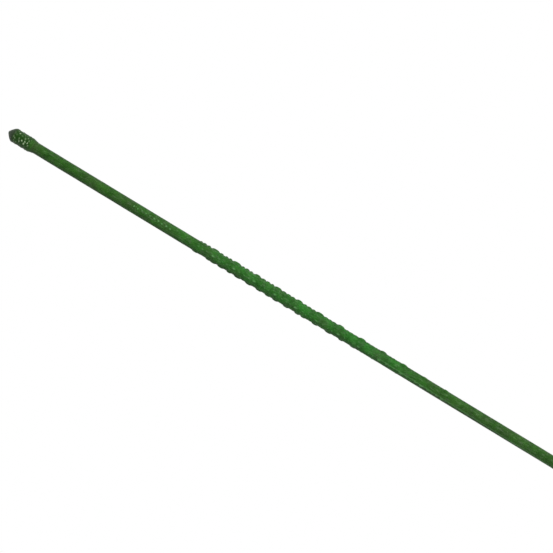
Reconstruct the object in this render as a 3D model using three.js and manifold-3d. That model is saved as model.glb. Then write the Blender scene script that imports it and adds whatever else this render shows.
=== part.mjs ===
// A plastic-coated steel garden stake: a thin-walled steel tube inside a green plastic coat with raised nubs,
// closed by a moulded cap at the top and a moulded point at the foot.
// Millimetres, +Z up along the stake, origin on its axis at the soil line.
import * as THREE from 'three';
import { mergeVertices } from 'three/addons/utils/BufferGeometryUtils.js';
import Module from 'manifold-3d';

// The stake as a whole
const stakeLength = 900;
const buriedLength = 300;

// Steel tube, rolled from strip, with the bead of its weld inside the bore
const tubeDiameter = 10;
const tubeWall = 0.4;
const seamBeadWidth = 1.2;
const seamBeadHeight = 0.25;

// Plastic coat, extruded tight over the tube
const coatWall = 0.45;
const bondGap = 0.05;

// Push fits of the two end pieces over the coat
const socketClearance = 0.05;
const socketEndGap = 0.3;
const mouthLip = 0.2;

// Top cap: a blunt cone nose, a straight body and a neck that runs out to a thin lip
const capDiameter = 13.9;
const capLength = 28.9;
const capNoseLength = 5.2;
const capFlatDiameter = 1.8;
const capShoulderRound = 2;
const capNeckLength = 6.2;
const capSocketDepth = 21.5;

// Ground point: the same kind of socket with a long cone
const pointDiameter = 13.9;
const pointLength = 48;
const pointConeLength = 25;
const pointTipDiameter = 1.8;
const pointShoulderRound = 1;
const pointNeckLength = 6.2;
const pointSocketDepth = 21.5;

// Nubs raised on the coat: length along the stake, width round it, height off the coat
const longNubLength = 8.2;
const longNubWidth = 3.2;
const longNubHeight = 1.2;
const mediumNubLength = 6.6;
const mediumNubWidth = 3.2;
const mediumNubHeight = 0.85;
const shortNubLength = 3.8;
const shortNubWidth = 2.6;
const shortNubHeight = 0.72;
const faceNubLength = 5.8;
const faceNubWidth = 2.6;
const faceNubHeight = 0.62;
const lowNubLength = 4;
const lowNubWidth = 2.4;
const lowNubHeight = 0.4;
const dotNubSize = 2.2;
const dotNubHeight = 0.35;
const nubCrownShare = 0.6;

// Lanes of nubs, which turn slowly round the stake; starts are distances down from the top of the stake
const nubCell = 23;
const shortNubPitch = 4.6;
const thornLaneStart = 224.4;
const thornLaneCells = 12;
const knotLaneStart = 206.5;
const knotLaneCount = 16;
const faceLaneDegrees = 258;
const slantLaneStart = 209.4;
const slantLaneCount = 15;
const dotLaneStart = 137.4;
const dotLanePitch = 4.44;
const dotLaneCount = 10;
const laneTurnLength = 2100;
const laneSquareAt = 288;

// Facets round a turned piece and round a nub, steps in a rounded edge, and the overrun of a through cut
const roundFacets = 24;
const nubFacets = 6;
const roundingSteps = 4;
const cutOverrun = 1;

// Sizes that follow from those above
const topZ = stakeLength - buriedLength;
const capMouthZ = topZ - capLength;
const pointMouthZ = pointLength - buriedLength;
const shaftTopZ = capMouthZ + capSocketDepth - socketEndGap;
const shaftFootZ = pointMouthZ - pointSocketDepth + socketEndGap;
const tubeRadius = tubeDiameter / 2;
const boreRadius = tubeRadius - tubeWall;
const coatBoreRadius = tubeRadius + bondGap;
const coatRadius = coatBoreRadius + coatWall;
const socketRadius = coatRadius + socketClearance;
const mouthRadius = socketRadius + mouthLip;

// The kinds of nub
const longNub = { length: longNubLength, width: longNubWidth, height: longNubHeight };
const mediumNub = { length: mediumNubLength, width: mediumNubWidth, height: mediumNubHeight };
const shortNub = { length: shortNubLength, width: shortNubWidth, height: shortNubHeight };
const faceNub = { length: faceNubLength, width: faceNubWidth, height: faceNubHeight };
const lowNub = { length: lowNubLength, width: lowNubWidth, height: lowNubHeight };
const dotNub = { length: dotNubSize, width: dotNubSize, height: dotNubHeight };

const wasm = await Module();
wasm.setup();

// A closed solid from a geometry, and a geometry from a solid
function solidOf(geometry) {
  geometry.deleteAttribute('normal');
  geometry.deleteAttribute('uv');
  const merged = mergeVertices(geometry);
  const mesh = new wasm.Mesh({
    numProp: 3,
    vertProperties: new Float32Array(merged.getAttribute('position').array),
    triVerts: new Uint32Array(merged.getIndex().array),
  });
  return new wasm.Manifold(mesh);
}

function geometryOf(solid) {
  const mesh = solid.getMesh();
  const geometry = new THREE.BufferGeometry();
  geometry.setAttribute('position', new THREE.BufferAttribute(mesh.vertProperties, 3));
  geometry.setIndex(new THREE.BufferAttribute(mesh.triVerts, 1));
  return geometry;
}

// A profile of radius against height, turned about the stake's axis
function turned(points) {
  const geometry = new THREE.LatheGeometry(points, roundFacets);
  geometry.rotateX(Math.PI / 2);
  return geometry;
}

// A round bar with a ring at each of the heights, which run from its foot to its top
function roundBar(radius, heights) {
  const foot = new THREE.Vector2(0, heights[0]);
  const top = new THREE.Vector2(0, heights.at(-1));
  const side = heights.map((z) => new THREE.Vector2(radius, z));
  return solidOf(turned([foot, ...side, top]));
}

// The steel tube: a ring section with a low weld bead in the bore, drawn out from the shaft's foot to its top
function makeSteelTube() {
  const section = new THREE.Shape();
  section.absarc(0, 0, tubeRadius, 0, 2 * Math.PI);
  const beadAngle = Math.asin(seamBeadWidth / 2 / boreRadius);
  const bore = new THREE.Path();
  bore.absarc(0, 0, boreRadius, beadAngle, 2 * Math.PI - beadAngle);
  bore.lineTo(boreRadius - seamBeadHeight, 0);
  bore.closePath();
  section.holes.push(bore);
  return new THREE.ExtrudeGeometry(section, {
    depth: shaftTopZ - shaftFootZ,
    bevelEnabled: false,
    curveSegments: roundFacets / 2,
  });
}

// One nub: a flat-crowned stud that stands on the coat, rooted through the coat's wall
function makeNub(kind, angle, z) {
  const stud = new THREE.CylinderGeometry(nubCrownShare, 1, 1, nubFacets);
  stud.rotateZ(-Math.PI / 2);
  stud.scale(coatWall + kind.height, kind.width / 2, kind.length / 2);
  stud.translate((coatBoreRadius + coatRadius + kind.height) / 2, 0, 0);
  stud.rotateZ(angle);
  stud.translate(0, 0, z);
  return solidOf(stud);
}

// A lane of like nubs down the bare coat; degrees is where it lies at the level where lanes are square
function nubLane(kind, degrees, start, pitch, count) {
  const lane = [];
  for (let i = 0; i < count; i += 1) {
    const below = start + i * pitch;
    const z = topZ - below;
    const turn = (laneSquareAt - below) / laneTurnLength;
    const angle = THREE.MathUtils.degToRad(degrees) + 2 * Math.PI * turn;
    const clearOfCap = z + kind.length / 2 < capMouthZ;
    const clearOfPoint = z - kind.length / 2 > pointMouthZ;
    if (clearOfCap && clearOfPoint) {
      lane.push(makeNub(kind, angle, z));
    }
  }
  return lane;
}

// Thorns on +X: in each cell a long nub, with three short ones centred between it and the one above
function thornLane() {
  const lane = nubLane(longNub, 0, thornLaneStart, nubCell, thornLaneCells);
  for (const step of [-1, 0, 1]) {
    const start = thornLaneStart - nubCell / 2 + step * shortNubPitch;
    lane.push(...nubLane(shortNub, 0, start, nubCell, thornLaneCells));
  }
  return lane;
}

// Medium nubs on -X, on the two faces between a row of dots and a face nub level with each long one,
// and low nubs on the four slants
function otherLanes() {
  const pitch = nubCell / 2;
  const lanes = nubLane(mediumNub, 180, knotLaneStart, pitch, knotLaneCount);
  for (const degrees of [faceLaneDegrees - 180, faceLaneDegrees]) {
    lanes.push(...nubLane(faceNub, degrees, thornLaneStart, nubCell, thornLaneCells));
    lanes.push(...nubLane(dotNub, degrees, dotLaneStart, dotLanePitch, dotLaneCount));
  }
  for (const turn of [-90, 0, 90, 180]) {
    const degrees = faceLaneDegrees / 2 + turn;
    lanes.push(...nubLane(lowNub, degrees, slantLaneStart, pitch, slantLaneCount));
  }
  return lanes;
}

// The plastic coat: a round bar with its nubs, bored for the tube
// Rings down the nubbed stretch keep its facets short
function makePlasticCoat() {
  const heights = [shaftTopZ];
  const bandEnd = thornLaneStart + thornLaneCells * nubCell;
  for (let below = dotLaneStart; below < bandEnd; below += nubCell) {
    const z = topZ - below;
    if (z < capMouthZ && z > pointMouthZ) {
      heights.push(z);
    }
  }
  heights.push(shaftFootZ);
  heights.reverse();
  let coat = roundBar(coatRadius, heights);
  for (const nub of [...thornLane(), ...otherLanes()]) {
    coat = coat.add(nub);
  }
  const bore = roundBar(coatBoreRadius, [shaftFootZ - cutOverrun, shaftTopZ + cutOverrun]);
  return geometryOf(coat.subtract(bore));
}

// An end piece with its mouth at height zero and its nose up: from the socket's floor down the socket wall,
// out over the lip, then up the neck, the body, the rounded shoulder and the cone to the flat of the nose
function makeEndPiece(sizes) {
  const { diameter, length, noseLength, flatDiameter, shoulderRound, neckLength, socketDepth } = sizes;
  const bodyRadius = diameter / 2;
  const flatRadius = flatDiameter / 2;
  const shoulderZ = length - noseLength;
  const noseSlope = (bodyRadius - flatRadius) / noseLength;
  const profile = new THREE.Path();
  profile.moveTo(0, socketDepth);
  profile.lineTo(socketRadius, socketDepth);
  profile.lineTo(socketRadius, 0);
  profile.lineTo(mouthRadius, 0);
  profile.lineTo(bodyRadius, neckLength);
  profile.lineTo(bodyRadius, shoulderZ - shoulderRound);
  profile.quadraticCurveTo(
    bodyRadius,
    shoulderZ,
    bodyRadius - noseSlope * shoulderRound,
    shoulderZ + shoulderRound,
  );
  profile.lineTo(flatRadius, length);
  profile.lineTo(0, length);
  return turned(profile.getPoints(roundingSteps));
}

const stake = new THREE.Group();

// A named piece, placed along the stake
function addPiece(name, geometry, z, material) {
  const piece = new THREE.Mesh(geometry, material);
  piece.name = name;
  piece.position.z = z;
  stake.add(piece);
  return piece;
}

const steel = new THREE.MeshStandardMaterial({ color: 0x8f9499, roughness: 0.4, metalness: 1 });
addPiece('steel_tube', makeSteelTube(), shaftFootZ, steel);

const coatPlastic = new THREE.MeshStandardMaterial({ color: 0x38622e, roughness: 0.5, metalness: 0 });
addPiece('plastic_coat', makePlasticCoat(), 0, coatPlastic);

const capPlastic = new THREE.MeshStandardMaterial({ color: 0x36522c, roughness: 0.6, metalness: 0 });
const capGeometry = makeEndPiece({
  diameter: capDiameter,
  length: capLength,
  noseLength: capNoseLength,
  flatDiameter: capFlatDiameter,
  shoulderRound: capShoulderRound,
  neckLength: capNeckLength,
  socketDepth: capSocketDepth,
});
addPiece('top_cap', capGeometry, capMouthZ, capPlastic);

// The point is turned over, so that its nose faces down
const pointPlastic = new THREE.MeshStandardMaterial({ color: 0x36522c, roughness: 0.6, metalness: 0 });
const pointGeometry = makeEndPiece({
  diameter: pointDiameter,
  length: pointLength,
  noseLength: pointConeLength,
  flatDiameter: pointTipDiameter,
  shoulderRound: pointShoulderRound,
  neckLength: pointNeckLength,
  socketDepth: pointSocketDepth,
});
addPiece('ground_point', pointGeometry, pointMouthZ, pointPlastic).rotation.x = Math.PI;

export default stake;
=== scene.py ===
import math
import random
from collections import namedtuple
from itertools import accumulate

import bpy
import numpy as np
from mathutils import Matrix, Vector, noise


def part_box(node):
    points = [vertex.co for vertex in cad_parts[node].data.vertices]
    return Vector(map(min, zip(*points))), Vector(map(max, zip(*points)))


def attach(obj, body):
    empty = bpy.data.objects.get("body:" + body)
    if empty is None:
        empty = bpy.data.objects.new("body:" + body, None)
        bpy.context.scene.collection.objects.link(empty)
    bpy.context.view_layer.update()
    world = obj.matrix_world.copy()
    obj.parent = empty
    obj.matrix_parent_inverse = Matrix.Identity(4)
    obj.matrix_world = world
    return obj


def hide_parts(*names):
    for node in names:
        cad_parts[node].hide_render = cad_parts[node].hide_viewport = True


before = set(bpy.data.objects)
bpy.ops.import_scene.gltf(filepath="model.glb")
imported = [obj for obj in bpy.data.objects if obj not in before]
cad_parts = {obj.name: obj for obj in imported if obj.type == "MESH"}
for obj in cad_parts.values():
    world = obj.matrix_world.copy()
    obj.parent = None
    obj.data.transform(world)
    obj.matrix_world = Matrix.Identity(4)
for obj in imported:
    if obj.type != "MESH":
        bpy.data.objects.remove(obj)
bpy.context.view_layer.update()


# Steel tube
# The core of the stake: cold-rolled steel strip bent round, seam-welded and cut off square at both ends.
# It lies hidden in the coat and makes the stake stiff. Its solid is kept and gets its metal here.
mm = 0.001
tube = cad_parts["steel_tube"]
strip_colour = "#8F9499"
strip_shade = "#6E7277"
strip_roughness = (0.28, 0.46)
roll_mark_width = 0.4 * mm
roll_mark_length = 30 * mm
roll_mark_depth = 0.004 * mm

# The colour sockets of a mix node, by number, because its other sockets have the same names
mix_a, mix_b, mix_result = 6, 7, 2


def linear(hex_colour):
    """An sRGB hex colour as linear red, green, blue and alpha."""
    shares = [int(hex_colour[i : i + 2], 16) / 255 for i in (1, 3, 5)]
    return [c / 12.92 if c <= 0.04045 else ((c + 0.055) / 1.055) ** 2.4 for c in shares] + [1]


def add_node(tree, kind, inputs, **settings):
    """A node with its settings, where each input is a value or the output that feeds it."""
    node = tree.nodes.new("ShaderNode" + kind)
    for name, value in settings.items():
        setattr(node, name, value)
    for socket, value in inputs.items():
        if isinstance(value, bpy.types.NodeSocket):
            tree.links.new(value, node.inputs[socket])
        else:
            node.inputs[socket].default_value = value
    return node


def bare_material(name):
    """A material with nothing in it, and its node tree."""
    material = bpy.data.materials.new(name)
    material.use_nodes = True
    tree = material.node_tree
    tree.nodes.clear()
    return material, tree


# Cold-rolled steel: a grey sheen, broken along the tube by the marks of the rolls. The real marks
# are finer and are drawn this wide so that they show.
steel, tree = bare_material("steel_cold_rolled")
place = add_node(tree, "TexCoord", {})
drawn_out = add_node(
    tree,
    "Mapping",
    {"Vector": place.outputs["Object"], "Scale": (1, 1, roll_mark_width / roll_mark_length)},
)
roll_marks = add_node(
    tree,
    "TexNoise",
    {"Vector": drawn_out.outputs[0], "Scale": 1 / roll_mark_width, "Detail": 3},
)
steel_tint = add_node(
    tree,
    "Mix",
    {"Factor": roll_marks.outputs[0], mix_a: linear(strip_shade), mix_b: linear(strip_colour)},
    data_type="RGBA",
)
steel_gloss = add_node(
    tree,
    "MapRange",
    {"Value": roll_marks.outputs[0], "To Min": strip_roughness[0], "To Max": strip_roughness[1]},
)
steel_relief = add_node(
    tree,
    "Bump",
    {"Height": roll_marks.outputs[0], "Distance": roll_mark_depth},
)
steel_shader = add_node(
    tree,
    "BsdfPrincipled",
    {
        "Base Color": steel_tint.outputs[mix_result],
        "Metallic": 1,
        "Roughness": steel_gloss.outputs[0],
        "Normal": steel_relief.outputs[0],
    },
)
add_node(tree, "OutputMaterial", {"Surface": steel_shader.outputs[0]})
tube.material_slots[0].material = steel


# Plastic coat
# Green polyethylene, half a millimetre thick, extruded hot over the tube so that it bonds as it
# cools. While still soft it is rolled between cut wheels, which raise the lanes of nubs that hold
# ties in place.
tube_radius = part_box("steel_tube")[1].x
coat_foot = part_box("plastic_coat")[0].z
coat_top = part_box("plastic_coat")[1].z
cap_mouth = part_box("top_cap")[0].z
stake_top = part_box("top_cap")[1].z
bond_gap = 0.05 * mm
coat_wall = 0.45 * mm
coat_bore = tube_radius + bond_gap
coat_radius = coat_bore + coat_wall
coat_sides = 84
plain_step = 3 * mm
nub_step = 0.4 * mm
bore_step = 20 * mm
sharp_edge = math.radians(40)

# Kinds of nub: length along the stake, width round it, height off the coat, how far its crown is
# rubbed pale, which is partly wear and partly a painted highlight, and how far it may stray along
# its lane
Nub = namedtuple("Nub", "length width height rub stray")
long_nub = Nub(8.6 * mm, 3.4 * mm, 1.25 * mm, 0.13, 0.4 * mm)
medium_nub = Nub(7 * mm, 3.3 * mm, 0.92 * mm, 0.13, 0.3 * mm)
short_nub = Nub(4.2 * mm, 2.8 * mm, 0.72 * mm, 0.2, 0.5 * mm)
face_nub = Nub(6.4 * mm, 2.8 * mm, 0.62 * mm, 0.6, 0.6 * mm)
between_nub = Nub(3.4 * mm, 2.2 * mm, 0.34 * mm, 0.3, 0.8 * mm)
low_nub = Nub(4.4 * mm, 2.6 * mm, 0.4 * mm, 0.13, 0.9 * mm)
dot_nub = Nub(3 * mm, 2.7 * mm, 0.42 * mm, 0.75, 0.2 * mm)
grain_nub = Nub(2.6 * mm, 1.8 * mm, 0.22 * mm, 0.1, 0)

# Lanes of nubs: starts are distances down from the top of the stake. All lanes turn slowly round it,
# once in lane_turn, and are at their own degrees at lane_square. Long nubs lie on +X, one to a cell,
# with three short ones between. Medium ones lie at uneven steps on -X. The two faces have a row of
# dots, then a face nub level with each long one and lesser ones level with the short ones. Low nubs
# lie on the slants between faces and sides.
Lane = namedtuple("Lane", "kind degrees start pitch count")
cell = 23 * mm
cell_count = 12
long_start = 224.4 * mm
short_pitch = 4.6 * mm
medium_start = 207.4 * mm
medium_steps = (14.5, 5.5, 8.5, 9, 9, 12.5, 11, 10, 8, 12, 12.5, 6.5, 12.5, 15, 14, 13)
face_degrees = 258
dot_start = 137.4 * mm
dot_pitch = 4.44 * mm
dot_count = 10
slant_start = 209.4 * mm
slant_count = 15
lane_turn = 2100 * mm
lane_square = 288 * mm
wobble_degrees = 4

faces = (face_degrees - 180, face_degrees)
lanes = [Lane(long_nub, 0, long_start, cell, cell_count)]
for degrees in faces:
    lanes.append(Lane(face_nub, degrees, long_start, cell, cell_count))
    lanes.append(Lane(dot_nub, degrees, dot_start, dot_pitch, dot_count))
for step in (-1, 0, 1):
    start = long_start - cell / 2 + step * short_pitch
    lanes.append(Lane(short_nub, 0, start, cell, cell_count))
    for degrees in faces:
        lanes.append(Lane(between_nub, degrees, start, cell, cell_count))
for start in accumulate((step * mm for step in medium_steps), initial=medium_start):
    lanes.append(Lane(medium_nub, 180, start, 0, 1))
for turn in (-90, 0, 90, 180):
    lanes.append(Lane(low_nub, face_degrees / 2 + turn, slant_start, cell / 2, slant_count))


def ease(share):
    """A soft step from 0 to 1 as the share goes from 0 to 1."""
    share = np.clip(share, 0, 1)
    return share * share * (3 - 2 * share)


def lane_turned(below):
    """How far the lanes have turned at a distance down from the top of the stake."""
    return 2 * math.pi * (lane_square - below) / lane_turn


# The short nubs are high at first and run out towards the foot
short_first = 1.35
short_last = 0.55
short_cells = 6
chance = random.Random(11)
nubs = []
for lane in lanes:
    for i in range(lane.count):
        below = lane.start + i * lane.pitch + chance.uniform(-lane.kind.stray, lane.kind.stray)
        wobble = chance.uniform(-wobble_degrees, wobble_degrees)
        angle = math.radians(lane.degrees + wobble) + lane_turned(below)
        run_out = 1
        if lane.kind is short_nub:
            run_out = short_first - (short_first - short_last) * ease((i - 1) / short_cells)
        nubs.append((lane.kind, run_out, angle, stake_top - below))

# Between the lanes the wheels leave a low, uneven grain
grain_count = 420
grain_cells = 9
for _ in range(grain_count):
    below = chance.uniform(medium_start, long_start + grain_cells * cell)
    nubs.append((grain_nub, 1, chance.uniform(0, 2 * math.pi), stake_top - below))

# Rings up the coat, close together over the nubbed stretch
band_margin = 6 * mm
band_top = stake_top - dot_start + band_margin
band_foot = stake_top - long_start - cell_count * cell + band_margin
coat_heights = np.concatenate(
    [
        np.arange(coat_foot, band_foot, plain_step),
        np.arange(band_foot, band_top, nub_step),
        np.arange(band_top, coat_top - plain_step / 2, plain_step),
        [coat_top],
    ]
)


def round_angles(sides):
    """The angles of that many points, even round a ring."""
    return np.arange(sides) * 2 * math.pi / sides


def turn_from(start, angles):
    """How far angles are turned from a start, half a turn either way at most."""
    return (angles - start + math.pi) % (2 * math.pi) - math.pi


# No two rolled nubs come out quite alike: the least and the most of each size and of the rubbing,
# as shares. The rubbed crown, partly wear and partly a painted highlight, and the painted shade
# round the foot are placed by reach, which is 0 at a nub's middle and 1 at its edge.
length_spread = (0.85, 1.25)
width_spread = (0.9, 1.15)
height_spread = (0.85, 1.1)
rub_highlight_spread = (0.8, 1)
rub_highlight_edge = 0.7
rub_highlight_blend = 0.6
foot_reach = 1.1
foot_width = 0.4
foot_shade_strength = 0.6
foot_clear = 0.4 * mm
coat_angles = round_angles(coat_sides)
nub_rise = np.zeros((len(coat_heights), coat_sides))
nub_wear_and_highlight = np.zeros_like(nub_rise)
nub_foot_shade = np.zeros_like(nub_rise)
for kind, run_out, angle, z in nubs:
    rise = kind.height * run_out * chance.uniform(*height_spread)
    along = (coat_heights - z) / (kind.length / 2 * chance.uniform(*length_spread))
    half_width = kind.width / 2 * chance.uniform(*width_spread)
    across = turn_from(angle, coat_angles) * coat_radius / half_width
    reach = np.hypot(along[:, None], across[None, :])
    nub_rise = np.maximum(nub_rise, rise * ease(1 - reach**2))
    # The crown is rubbed pale: partly wear, partly a painted highlight
    rubbing_and_highlight = kind.rub * chance.uniform(*rub_highlight_spread)
    nub_wear_and_highlight = np.maximum(nub_wear_and_highlight, rubbing_and_highlight * ease((rub_highlight_edge - reach) / rub_highlight_blend))
    # Painted shade: a dark ring round the foot of each nub, gone where another nub rises over it
    foot_ring = ease(1 - np.abs(reach - foot_reach) / foot_width)
    nub_foot_shade = np.maximum(nub_foot_shade, foot_ring * kind.height / long_nub.height)
nub_foot_shade = foot_shade_strength * nub_foot_shade * ease(1 - nub_rise / foot_clear)

# The extruder never holds the wall quite even, so the coat swells and thins a little along its
# length, and the die leaves shallow flutes down it
swell_depth = 0.05 * mm
swell_length = 14 * mm
flute_depth = 0.03 * mm
flute_width = 1.6 * mm
flute_length = 250 * mm
flutes = coat_radius / flute_width
wander = np.zeros_like(nub_rise)
for i, z in enumerate(coat_heights):
    for k, angle in enumerate(coat_angles):
        x, y = math.cos(angle), math.sin(angle)
        swell = noise.noise(Vector((x, y, z / swell_length)))
        flute = noise.noise(Vector((x * flutes, y * flutes, z / flute_length)))
        wander[i, k] = swell_depth * swell + flute_depth * flute

# Below the nubs, where nothing is rolled over it, the seam shows at which the melt closed behind
# the die. It turns with the lanes. Its crest is painted pale, a painted reflection.
seam_angle = math.radians(269)
seam_width = 1.6 * mm
seam_height = 0.18 * mm
seam_painted_sheen = 0.4
seam_top = 220 * mm
seam_fade = 60 * mm
seam_turn = seam_angle + lane_turned(stake_top - coat_heights)
from_seam = turn_from(seam_turn[:, None], coat_angles[None, :]) * coat_radius
seam = ease(1 - np.abs(from_seam) / (seam_width / 2))
seam = seam * ease((seam_top - coat_heights) / seam_fade)[:, None]
# A painted reflection: the crest of the seam is coloured pale
nub_wear_and_highlight = np.maximum(nub_wear_and_highlight, seam_painted_sheen * seam)

# The rolled stretch is coloured a brighter green than the plain ends, and just below the mouth of
# the cap the coat is a duller grey-green
rolled_cells = 9.5
rolled_top_fade = 250 * mm
rolled_foot_fade = 100 * mm
rolled_top = stake_top - medium_start
rolled_foot = stake_top - long_start - rolled_cells * cell
rolled_share = ease((coat_heights - rolled_foot) / rolled_foot_fade + 0.5)
rolled_share = rolled_share * ease((rolled_top - coat_heights) / rolled_top_fade + 0.5)
mouth_dull_reach = 11 * mm
mouth_dull_share = ease(1 - (cap_mouth - coat_heights) / mouth_dull_reach)


def ring_points(radii, angles, heights):
    """Rings of points round the Z axis, one ring for each height."""
    x = radii * np.cos(angles)
    y = radii * np.sin(angles)
    z = np.broadcast_to(np.asarray(heights)[:, None], x.shape)
    return np.stack([x, y, z], axis=-1)


def skin(name, rings, marks, sleeve):
    """A closed mesh through rings: a sleeve joins its last ring to its first, others get end faces."""
    count, sides = rings.shape[:2]
    index = np.arange(count * sides).reshape(count, sides)
    ahead = np.roll(index, -1, axis=1)
    pairs = [(i, (i + 1) % count) for i in range(count if sleeve else count - 1)]
    faces = []
    for i, k in pairs:
        faces.extend(zip(index[i].tolist(), ahead[i].tolist(), ahead[k].tolist(), index[k].tolist()))
    if not sleeve:
        faces.append(index[0][::-1].tolist())
        faces.append(index[-1].tolist())
    mesh = bpy.data.meshes.new(name)
    mesh.from_pydata(rings.reshape(-1, 3).tolist(), [], faces)
    mesh.shade_smooth()
    mesh.set_sharp_from_angle(angle=sharp_edge)
    for mark, values in marks.items():
        attribute = mesh.attributes.new(mark, "FLOAT", "POINT")
        attribute.data.foreach_set("value", values.ravel().astype(np.float32))
    piece = bpy.data.objects.new(name, mesh)
    bpy.context.scene.collection.objects.link(piece)
    return piece


outer_radii = coat_radius + wander + nub_rise + seam_height * seam
outer_rings = ring_points(outer_radii, coat_angles, coat_heights)
bore_heights = np.append(np.arange(coat_top, coat_foot, -bore_step), coat_foot)
bore_radii = np.full((len(bore_heights), coat_sides), coat_bore)
bore_rings = ring_points(bore_radii, coat_angles, bore_heights)
coat_marks = {
    # Crowns rubbed pale, partly wear and partly painted highlight, and the seam's painted reflection
    "wear_and_highlight": nub_wear_and_highlight,
    # Painted shade round the feet of the nubs
    "foot": nub_foot_shade,
    "rolled": np.broadcast_to(rolled_share[:, None], nub_rise.shape),
    # A duller grey-green just below the mouth of the cap
    "mouth_dull": np.broadcast_to(mouth_dull_share[:, None], nub_rise.shape),
}
unmarked = np.zeros_like(bore_radii)
coat_marks = {mark: np.concatenate([values, unmarked]) for mark, values in coat_marks.items()}
coat = skin("coat_skin", np.concatenate([outer_rings, bore_rings]), coat_marks, sleeve=True)

# Extruded polyethylene: a waxy green with a soft sheen, brighter where it is rolled. The melt is
# mottled and dulled in patches, the die leaves pale lines along the stake, and the skin has an
# orange peel. Dust is wiped along the stake, and just below the mouth of the cap the coat is a
# duller grey-green. The feet of the nubs get painted shade, and their crowns are rubbed pale, which
# is partly wear and partly a painted highlight; the pale crest of the seam is a painted reflection.
# Lines, peel and dust are finer on a real stake and are drawn this coarse so that they show.
plain_green = "#33661F"
plain_deep = "#1F4910"
rolled_green = "#317C2A"
rolled_deep = "#1D5B17"
dull_green = "#3B522A"
line_green = "#4B7A38"
# Painted shade at the feet of the nubs
foot_shade_green = "#16380D"
dust_grey = "#A9B3A0"
# Pale crowns, partly wear and partly painted highlight
rubbed_highlight_green = "#80BF7A"
melt_patch = 7 * mm
dull_patch = 16 * mm
line_width = 0.7 * mm
line_length = 70 * mm
dust_width = 1.5 * mm
dust_length = 4.5 * mm
rub_size = 1.6 * mm
peel_size = 2 * mm
peel_depth = 0.07 * mm
dull_most = 0.45
line_most = 0.4
dust_most = 0.15
rub_highlight_least = 0.75
mouth_dull_streak = (0.45, 0.85)
coat_roughness = (0.52, 0.67)
polyethylene_ior = 1.51
waxy_specular = 0.27

# The stretch of its noise over which each pattern comes in
melt_span = (0.37, 0.63)
dull_span = (0.42, 0.72)
pale_span = (0.5, 0.75)
middle_span = (0.35, 0.65)
gloss_span = (0.3, 0.7)

coat_plastic, tree = bare_material("polyethylene_extruded_green")
place = add_node(tree, "TexCoord", {})
drawn_out = add_node(
    tree,
    "Mapping",
    {"Vector": place.outputs["Object"], "Scale": (1, 1, line_width / line_length)},
)
die_lines = add_node(
    tree,
    "TexNoise",
    {"Vector": drawn_out.outputs[0], "Scale": 1 / line_width, "Detail": 3, "Roughness": 0.6},
)
melt = add_node(
    tree,
    "TexNoise",
    {"Vector": place.outputs["Object"], "Scale": 1 / melt_patch, "Detail": 5, "Roughness": 0.65},
)
melt_share = add_node(
    tree,
    "MapRange",
    {"Value": melt.outputs[0], "From Min": melt_span[0], "From Max": melt_span[1]},
)
plain_tint = add_node(
    tree,
    "Mix",
    {"Factor": melt_share.outputs[0], mix_a: linear(plain_deep), mix_b: linear(plain_green)},
    data_type="RGBA",
)
rolled_tint = add_node(
    tree,
    "Mix",
    {"Factor": melt_share.outputs[0], mix_a: linear(rolled_deep), mix_b: linear(rolled_green)},
    data_type="RGBA",
)
rolled_mark = add_node(tree, "Attribute", {}, attribute_name="rolled")
melt_tint = add_node(
    tree,
    "Mix",
    {
        "Factor": rolled_mark.outputs["Fac"],
        mix_a: plain_tint.outputs[mix_result],
        mix_b: rolled_tint.outputs[mix_result],
    },
    data_type="RGBA",
)
dulling = add_node(
    tree,
    "TexNoise",
    {"Vector": place.outputs["Object"], "Scale": 1 / dull_patch, "Detail": 3},
)
dull_share = add_node(
    tree,
    "MapRange",
    {
        "Value": dulling.outputs[0],
        "From Min": dull_span[0],
        "From Max": dull_span[1],
        "To Max": dull_most,
    },
)
# A duller grey-green just below the mouth of the cap, streaked along the die lines
mouth_dull_mark = add_node(tree, "Attribute", {}, attribute_name="mouth_dull")
mouth_dull_streaks = add_node(
    tree,
    "MapRange",
    {
        "Value": die_lines.outputs[0],
        "From Min": middle_span[0],
        "From Max": middle_span[1],
        "To Min": mouth_dull_streak[0],
        "To Max": mouth_dull_streak[1],
    },
)
mouth_dulled = add_node(
    tree,
    "Math",
    {0: mouth_dull_mark.outputs["Fac"], 1: mouth_dull_streaks.outputs[0]},
    operation="MULTIPLY",
)
dull_or_mouth_dulled = add_node(
    tree,
    "Math",
    {0: dull_share.outputs[0], 1: mouth_dulled.outputs[0]},
    operation="MAXIMUM",
)
dull_tint = add_node(
    tree,
    "Mix",
    {
        "Factor": dull_or_mouth_dulled.outputs[0],
        mix_a: melt_tint.outputs[mix_result],
        mix_b: linear(dull_green),
    },
    data_type="RGBA",
)
line_share = add_node(
    tree,
    "MapRange",
    {
        "Value": die_lines.outputs[0],
        "From Min": pale_span[0],
        "From Max": pale_span[1],
        "To Max": line_most,
    },
)
line_tint = add_node(
    tree,
    "Mix",
    {"Factor": line_share.outputs[0], mix_a: dull_tint.outputs[mix_result], mix_b: linear(line_green)},
    data_type="RGBA",
)
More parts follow.
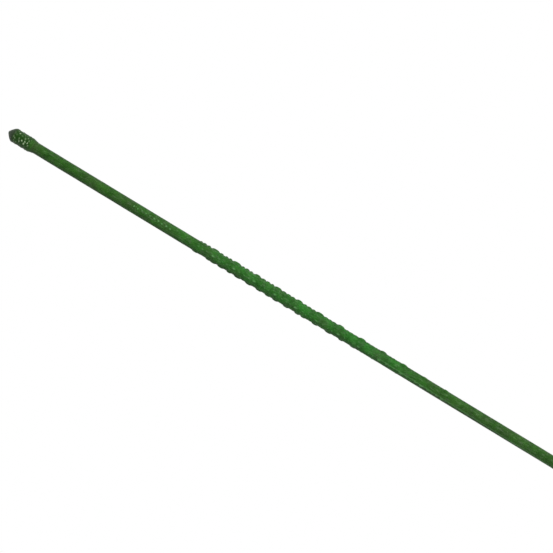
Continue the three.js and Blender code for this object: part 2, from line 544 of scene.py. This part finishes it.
# Painted shade round the feet of the nubs
foot_shade_mark = add_node(tree, "Attribute", {}, attribute_name="foot")
foot_shade_tint = add_node(
    tree,
    "Mix",
    {
        "Factor": foot_shade_mark.outputs["Fac"],
        mix_a: line_tint.outputs[mix_result],
        mix_b: linear(foot_shade_green),
    },
    data_type="RGBA",
)
wiped = add_node(
    tree,
    "Mapping",
    {"Vector": place.outputs["Object"], "Scale": (1, 1, dust_width / dust_length)},
)
dust = add_node(
    tree,
    "TexNoise",
    {"Vector": wiped.outputs[0], "Scale": 1 / dust_width, "Detail": 4, "Roughness": 0.6},
)
dust_share = add_node(
    tree,
    "MapRange",
    {
        "Value": dust.outputs[0],
        "From Min": pale_span[0],
        "From Max": pale_span[1],
        "To Max": dust_most,
    },
)
dusty_tint = add_node(
    tree,
    "Mix",
    {"Factor": dust_share.outputs[0], mix_a: foot_shade_tint.outputs[mix_result], mix_b: linear(dust_grey)},
    data_type="RGBA",
)
# Crowns rubbed pale, partly wear and partly painted highlight, and the seam's painted reflection
wear_highlight_mark = add_node(tree, "Attribute", {}, attribute_name="wear_and_highlight")
rub = add_node(
    tree,
    "TexNoise",
    {"Vector": place.outputs["Object"], "Scale": 1 / rub_size, "Detail": 3},
)
rub_highlight_spots = add_node(
    tree,
    "MapRange",
    {
        "Value": rub.outputs[0],
        "From Min": middle_span[0],
        "From Max": middle_span[1],
        "To Min": rub_highlight_least,
    },
)
rubbed_and_highlight = add_node(
    tree,
    "Math",
    {0: wear_highlight_mark.outputs["Fac"], 1: rub_highlight_spots.outputs[0]},
    operation="MULTIPLY",
)
coat_tint = add_node(
    tree,
    "Mix",
    {"Factor": rubbed_and_highlight.outputs[0], mix_a: dusty_tint.outputs[mix_result], mix_b: linear(rubbed_highlight_green)},
    data_type="RGBA",
)
coat_gloss = add_node(
    tree,
    "MapRange",
    {
        "Value": rub.outputs[0],
        "From Min": gloss_span[0],
        "From Max": gloss_span[1],
        "To Min": coat_roughness[0],
        "To Max": coat_roughness[1],
    },
)
peel = add_node(
    tree,
    "TexNoise",
    {"Vector": place.outputs["Object"], "Scale": 1 / peel_size, "Detail": 2},
)
peel_and_lines = add_node(
    tree,
    "Math",
    {0: peel.outputs[0], 1: die_lines.outputs[0]},
    operation="ADD",
)
coat_relief = add_node(
    tree,
    "Bump",
    {"Height": peel_and_lines.outputs[0], "Distance": peel_depth},
)
coat_shader = add_node(
    tree,
    "BsdfPrincipled",
    {
        "Base Color": coat_tint.outputs[mix_result],
        "Roughness": coat_gloss.outputs[0],
        "IOR": polyethylene_ior,
        "Specular IOR Level": waxy_specular,
        "Normal": coat_relief.outputs[0],
    },
)
add_node(tree, "OutputMaterial", {"Surface": coat_shader.outputs[0]})
coat.data.materials.append(coat_plastic)
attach(coat, "root")
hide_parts("plastic_coat")


# Top cap
# A thick polyethylene cap, injection moulded in a darker green and pushed over the coated end,
# which it grips. It has a blunt cone nose, a body with coarse pebbles for the thumb, and a smooth
# neck to a thin lip.
socket_clearance = 0.05 * mm
mouth_lip = 0.2 * mm
socket_radius = coat_radius + socket_clearance
socket_depth = 21.5 * mm
mouth_radius = socket_radius + mouth_lip
neck_length = 6.2 * mm
flat_radius = 0.9 * mm
moulded_sides = 144
moulded_step = 0.22 * mm
parting_line_width = 0.5 * mm
parting_line_height = 0.1 * mm

# Pebbles: half their lengths and widths are shares of the spacing, and their outlines are ragged
pebble_start = 4 * mm
pebble_spacing = 2.3 * mm
pebble_throws = 900
pebble_half_length = (0.45, 0.6)
pebble_half_width = (0.6, 0.85)
pebble_slant = 0.5
pebble_crown = 0.3
pebble_depth = 0.28 * mm
pebble_raggedness = 0.3
ragged_size = 1.2 * mm
neck_fade = 3 * mm
nose_fade = 1.6 * mm

# Wear and painted glints: some pebbles are scuffed hard, most of them on one side, and the others
# lightly. The pale scuffs are partly wear and partly painted glints
scuffed_side = math.radians(253)
scuffed_share = 0.55
hard_scuff_glint = (0.6, 1)
light_scuff_glint = (0.05, 0.35)
scuff_glint_edge = 0.85
scuff_glint_blend = 0.65
nose_blend = 4 * mm
nose_lead = 0.8
# The cap is a duller grey-green within this reach of its mouth
lip_dull_reach = 4 * mm


def moulded_end(name, node, nose_up, nose_length, nose_swell):
    """An end piece in its solid's place: socket, lip, neck, pebbled body and a swelling nose."""
    low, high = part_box(node)
    length = high.z - low.z
    body_radius = high.x
    shoulder = length - nose_length
    angles = round_angles(moulded_sides)
    heights = np.append(np.arange(0, length - moulded_step / 2, moulded_step), length)
    neck = mouth_radius + (body_radius - mouth_radius) * ease(heights / neck_length)
    from_tip = np.clip((length - heights) / nose_length, 0, 1)
    cone = flat_radius + (body_radius - flat_radius) * (1 - (1 - from_tip) ** nose_swell)
    outline = np.minimum(neck, cone)

    # Pebbles lie anyhow, no two closer than their spacing
    draw = random.Random(name)
    girth = 2 * math.pi * body_radius
    pebbles = []
    for _ in range(pebble_throws):
        z = draw.uniform(pebble_start, shoulder)
        round_at = draw.uniform(0, 2 * math.pi) * body_radius
        gaps = []
        for other_z, other_at in pebbles:
            apart = (round_at - other_at + girth / 2) % girth - girth / 2
            gaps.append(math.hypot(z - other_z, apart))
        if min(gaps, default=girth) > pebble_spacing:
            pebbles.append((z, round_at))

    ragged = np.zeros((len(heights), moulded_sides))
    for i, z in enumerate(heights):
        for k, angle in enumerate(angles):
            spot = Vector((body_radius * math.cos(angle), body_radius * math.sin(angle), z))
            ragged[i, k] = pebble_raggedness * noise.noise(spot / ragged_size)
    crowns = np.zeros_like(ragged)
    # Pale scuffs on the crowns, partly wear and partly painted glints
    scuffs_and_glints = np.zeros_like(ragged)
    for z, round_at in pebbles:
        pebble_angle = round_at / body_radius
        along = (heights - z) / draw.uniform(*pebble_half_length)
        across = turn_from(pebble_angle, angles) * body_radius / draw.uniform(*pebble_half_width)
        slanted = across[None, :] + along[:, None] * draw.uniform(-pebble_slant, pebble_slant)
        reach = np.hypot(along[:, None], slanted) / pebble_spacing + ragged
        crowns = np.maximum(crowns, ease((1 - reach) / (1 - pebble_crown)))
        to_side = 0.5 + 0.5 * math.cos(pebble_angle - scuffed_side)
        rubbed_hard = draw.random() < scuffed_share * to_side**2
        scuff_glint_strength = draw.uniform(*(hard_scuff_glint if rubbed_hard else light_scuff_glint))
        scuffs_and_glints = np.maximum(scuffs_and_glints, scuff_glint_strength * ease((scuff_glint_edge - reach) / scuff_glint_blend))

    # They fade out at the neck and the shoulder, and the two halves of the mould leave a line down
    # each side
    pebbled = ease((heights - pebble_start) / neck_fade) * ease((shoulder - heights) / nose_fade)
    hollows = (1 - crowns) * pebbled[:, None]
    from_line = np.abs((angles + math.pi / 2) % math.pi - math.pi / 2) * body_radius
    line = parting_line_height * ease(1 - from_line / (parting_line_width / 2))
    radii = outline[:, None] - pebble_depth * hollows + line[None, :]

    socket = np.full((2, moulded_sides), socket_radius)
    socket_rings = ring_points(socket, angles, [socket_depth, 0])
    rings = np.concatenate([socket_rings, ring_points(radii, angles, heights)])
    if not nose_up:
        rings = rings * [1, -1, -1]
    rings = rings + [0, 0, low.z if nose_up else high.z]
    nose_share = ease((heights - shoulder) / nose_blend + nose_lead)
    mouth_dull_share = ease(1 - heights / lip_dull_reach)
    marks = {
        "wear_and_highlight": scuffs_and_glints * pebbled[:, None],
        "nose": np.broadcast_to(nose_share[:, None], radii.shape),
        # Painted shade in the hollows between the pebbles
        "hollow": hollows,
        # A duller grey-green near the mouth of the cap
        "mouth_dull": np.broadcast_to(mouth_dull_share[:, None], radii.shape),
    }
    unmarked = np.zeros_like(socket)
    marks = {mark: np.concatenate([unmarked, values]) for mark, values in marks.items()}
    return skin(name, rings, marks, sleeve=False)


cap = moulded_end("cap_skin", "top_cap", nose_up=True, nose_length=6.6 * mm, nose_swell=1.6)

# Moulded polyethylene: darker than the coat and duller, mottled, with a darker grey-green nose.
# The crowns of the pebbles are scuffed almost white where hands and other stakes rub them, and the
# white is partly painted glints; the hollows between get painted shade, and near the lip the cap is
# a duller grey-green. Scuffs and peel are finer on a real cap and are drawn this coarse so that
# they show.
cap_green = "#315F1D"
cap_deep = "#22480F"
nose_grey = "#2E4227"
# Painted shade in the hollows between the pebbles
hollow_shade_green = "#1F4611"
# Scuffed white, partly wear and partly painted glints
cap_scuff_glint = "#CFE8BC"
bloom_size = 4 * mm
scuff_size = 0.6 * mm
scuff_span = (0.2, 0.6)
moulded_peel_size = 0.7 * mm
moulded_peel_depth = 0.03 * mm
mouth_dull_patch = (0.3, 0.8)
cap_roughness = (0.4, 0.6)

cap_plastic, tree = bare_material("polyethylene_moulded_dark_green")
place = add_node(tree, "TexCoord", {})
bloom = add_node(
    tree,
    "TexNoise",
    {"Vector": place.outputs["Object"], "Scale": 1 / bloom_size, "Detail": 4},
)
bloom_share = add_node(
    tree,
    "MapRange",
    {"Value": bloom.outputs[0], "From Min": middle_span[0], "From Max": middle_span[1]},
)
bloom_tint = add_node(
    tree,
    "Mix",
    {"Factor": bloom_share.outputs[0], mix_a: linear(cap_deep), mix_b: linear(cap_green)},
    data_type="RGBA",
)
# A duller grey-green in patches near the lip of the cap
mouth_dull_mark = add_node(tree, "Attribute", {}, attribute_name="mouth_dull")
mouth_dull_patches = add_node(
    tree,
    "MapRange",
    {
        "Value": bloom.outputs[0],
        "From Min": middle_span[0],
        "From Max": middle_span[1],
        "To Min": mouth_dull_patch[0],
        "To Max": mouth_dull_patch[1],
    },
)
mouth_dulled = add_node(
    tree,
    "Math",
    {0: mouth_dull_mark.outputs["Fac"], 1: mouth_dull_patches.outputs[0]},
    operation="MULTIPLY",
)
mouth_dull_tint = add_node(
    tree,
    "Mix",
    {"Factor": mouth_dulled.outputs[0], mix_a: bloom_tint.outputs[mix_result], mix_b: linear(dull_green)},
    data_type="RGBA",
)
# The nose is coloured a darker grey-green
nose_mark = add_node(tree, "Attribute", {}, attribute_name="nose")
nose_tint = add_node(
    tree,
    "Mix",
    {
        "Factor": nose_mark.outputs["Fac"],
        mix_a: mouth_dull_tint.outputs[mix_result],
        mix_b: linear(nose_grey),
    },
    data_type="RGBA",
)
# Painted shade in the hollows between the pebbles
hollow_shade_mark = add_node(tree, "Attribute", {}, attribute_name="hollow")
hollow_shade_tint = add_node(
    tree,
    "Mix",
    {
        "Factor": hollow_shade_mark.outputs["Fac"],
        mix_a: nose_tint.outputs[mix_result],
        mix_b: linear(hollow_shade_green),
    },
    data_type="RGBA",
)
# Scuffed crowns, partly wear and partly painted glints
wear_highlight_mark = add_node(tree, "Attribute", {}, attribute_name="wear_and_highlight")
scuff = add_node(
    tree,
    "TexNoise",
    {"Vector": place.outputs["Object"], "Scale": 1 / scuff_size, "Detail": 3},
)
scuff_glint_spots = add_node(
    tree,
    "MapRange",
    {"Value": scuff.outputs[0], "From Min": scuff_span[0], "From Max": scuff_span[1]},
)
scuffed_glint = add_node(
    tree,
    "Math",
    {0: wear_highlight_mark.outputs["Fac"], 1: scuff_glint_spots.outputs[0]},
    operation="MULTIPLY",
)
cap_tint = add_node(
    tree,
    "Mix",
    {"Factor": scuffed_glint.outputs[0], mix_a: hollow_shade_tint.outputs[mix_result], mix_b: linear(cap_scuff_glint)},
    data_type="RGBA",
)
cap_gloss = add_node(
    tree,
    "MapRange",
    {
        "Value": scuff.outputs[0],
        "From Min": gloss_span[0],
        "From Max": gloss_span[1],
        "To Min": cap_roughness[0],
        "To Max": cap_roughness[1],
    },
)
moulded_peel = add_node(
    tree,
    "TexNoise",
    {"Vector": place.outputs["Object"], "Scale": 1 / moulded_peel_size, "Detail": 2},
)
cap_relief = add_node(
    tree,
    "Bump",
    {"Height": moulded_peel.outputs[0], "Distance": moulded_peel_depth},
)
cap_shader = add_node(
    tree,
    "BsdfPrincipled",
    {
        "Base Color": cap_tint.outputs[mix_result],
        "Roughness": cap_gloss.outputs[0],
        "IOR": polyethylene_ior,
        "Specular IOR Level": waxy_specular,
        "Normal": cap_relief.outputs[0],
    },
)
add_node(tree, "OutputMaterial", {"Surface": cap_shader.outputs[0]})
cap.data.materials.append(cap_plastic)
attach(cap, "root")
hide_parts("top_cap")


# Ground point
# The same moulding in a longer form, pushed over the foot of the stake: a slim cone that parts the soil.
# It is made of the cap's dark polyethylene, with the same pebbled body above the cone.
point = moulded_end("point_skin", "ground_point", nose_up=False, nose_length=25 * mm, nose_swell=1.2)
point.data.materials.append(cap_plastic)
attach(point, "root")
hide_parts("ground_point")


# Floor
# A wide round of matt white paper at the foot of the stake, which takes its shadow.
# Far out it goes over to the white of the surround, so that no edge or horizon shows.
floor_radius = 9.0
floor_sides = 96
floor_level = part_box("ground_point")[0].z
paper_white = "#F4F4F2"
paper_grain = 2 * mm
paper_tooth = 0.02 * mm
paper_fade_start = 0.3
paper_fade_end = 0.75
paper_least_white = 0.5
surround_white = "#FFFFFF"
to_camera = Vector((0, -1, 0))
room_level = 0.15
room_edge = 0.3

floor_radii = np.full((1, floor_sides), floor_radius)
floor_rim = ring_points(floor_radii, round_angles(floor_sides), [floor_level])
floor_mesh = bpy.data.meshes.new("floor")
floor_mesh.from_pydata(floor_rim[0].tolist(), [], [range(floor_sides)])
floor = bpy.data.objects.new("floor", floor_mesh)
bpy.context.scene.collection.objects.link(floor)


def white_seen(tree, outwards):
    """The share of white for a ray: full by eye or through glass, less in gloss towards the camera."""
    towards_camera = add_node(tree, "VectorMath", {0: outwards, 1: to_camera}, operation="DOT_PRODUCT")
    room = add_node(
        tree,
        "MapRange",
        {
            "Value": towards_camera.outputs["Value"],
            "From Min": room_edge,
            "To Min": 1,
            "To Max": room_level,
        },
    )
    path = add_node(tree, "LightPath", {})
    in_gloss = add_node(
        tree,
        "Math",
        {0: path.outputs["Is Glossy Ray"], 1: room.outputs[0]},
        operation="MULTIPLY",
    )
    plainly_seen = add_node(
        tree,
        "Math",
        {0: path.outputs["Is Camera Ray"], 1: path.outputs["Is Transmission Ray"]},
        operation="MAXIMUM",
    )
    seen = add_node(
        tree,
        "Math",
        {0: plainly_seen.outputs[0], 1: in_gloss.outputs[0]},
        operation="MAXIMUM",
    )
    return seen.outputs[0]


# Matt paper: an even soft white without gloss. Its fibres are finer than this and are drawn coarse
# so that a close view shows some tooth.
paper, tree = bare_material("paper_matt_white")
place = add_node(tree, "TexCoord", {})
fibre = add_node(
    tree,
    "TexNoise",
    {"Vector": place.outputs["Object"], "Scale": 1 / paper_grain, "Detail": 2},
)
paper_relief = add_node(tree, "Bump", {"Height": fibre.outputs[0], "Distance": paper_tooth})
paper_shader = add_node(
    tree,
    "BsdfDiffuse",
    {"Color": linear(paper_white), "Normal": paper_relief.outputs[0]},
)
surround = add_node(tree, "Emission", {"Color": linear(surround_white), "Strength": 1})
far_out = add_node(tree, "VectorMath", {0: place.outputs["Object"]}, operation="LENGTH")
fade = add_node(
    tree,
    "MapRange",
    {
        "Value": far_out.outputs["Value"],
        "From Min": paper_fade_start,
        "From Max": paper_fade_end,
        "To Min": paper_least_white,
    },
    interpolation_type="SMOOTHSTEP",
)
outwards = add_node(tree, "VectorMath", {0: place.outputs["Object"]}, operation="NORMALIZE")
shown = add_node(
    tree,
    "Math",
    {0: fade.outputs[0], 1: white_seen(tree, outwards.outputs[0])},
    operation="MULTIPLY",
)
paper_mix = add_node(
    tree,
    "MixShader",
    {0: shown.outputs[0], 1: paper_shader.outputs[0], 2: surround.outputs[0]},
)
add_node(tree, "OutputMaterial", {"Surface": paper_mix.outputs[0]})
floor_mesh.materials.append(paper)


# Studio light
# A white surround for the eye, and in gloss a darker room towards the camera, as in front of a
# light tent. One large diffused lamp stands beside the camera, and one stands high up behind, so
# that the far side isn't lost.
glow_strength = 0.07
view_centre = Vector((14.2 * mm, 0, 314.4 * mm))
key_swing = math.radians(31)
key_distance = 1.5
key_size = 0.8
key_power = 18
back_height = math.radians(40)
back_distance = 1.8
back_size = 1.2
back_power = 22

world = bpy.data.worlds.new("white_surround")
bpy.context.scene.world = world
world.use_nodes = True
tree = world.node_tree
tree.nodes.clear()
outwards = add_node(tree, "TexCoord", {})
surround_level = add_node(
    tree,
    "MapRange",
    {"Value": white_seen(tree, outwards.outputs["Generated"]), "To Min": glow_strength, "To Max": 1},
)
surround = add_node(
    tree,
    "Background",
    {"Color": linear(surround_white), "Strength": surround_level.outputs[0]},
)
add_node(tree, "OutputWorld", {"Surface": surround.outputs[0]})


def add_lamp(name, direction, distance, size, power):
    """A square soft lamp, out in that direction from the middle of the view and facing it."""
    lamp = bpy.data.objects.new(name, bpy.data.lights.new(name, "AREA"))
    lamp.data.size = size
    lamp.data.energy = power
    lamp.location = view_centre + direction.normalized() * distance
    lamp.rotation_mode = "QUATERNION"
    lamp.rotation_quaternion = direction.to_track_quat("Z", "Y")
    lamp.visible_glossy = False
    bpy.context.scene.collection.objects.link(lamp)


key_direction = to_camera * math.cos(key_swing) + Vector((math.sin(key_swing), 0, 0))
add_lamp("key_lamp", key_direction, key_distance, key_size, key_power)
back_direction = -to_camera * math.cos(back_height) + Vector((0, 0, math.sin(back_height)))
add_lamp("back_lamp", back_direction, back_distance, back_size, back_power)


# Camera
# A long lens, square to the stake and as far off as the scale at the stake asks. It is turned
# about its own axis, so that the stake runs down to the right across the frame.
photo_pixels = 553
scale_at_stake = 0.94 * mm
lens = 85
sensor = 36
tilt = math.radians(31.26)
image_right = Vector((math.sin(tilt), 0, -math.cos(tilt)))
image_up = Vector((math.cos(tilt), 0, math.sin(tilt)))

camera = bpy.data.objects.new("camera", bpy.data.cameras.new("camera"))
camera.data.lens = lens
camera.data.sensor_width = sensor
distance = photo_pixels * scale_at_stake * lens / sensor
turn = Matrix((image_right, image_up, to_camera)).transposed()
camera.matrix_world = Matrix.Translation(view_centre + to_camera * distance) @ turn.to_4x4()
bpy.context.scene.collection.objects.link(camera)
bpy.context.scene.camera = camera
bpy.context.scene.view_settings.view_transform = "Standard"
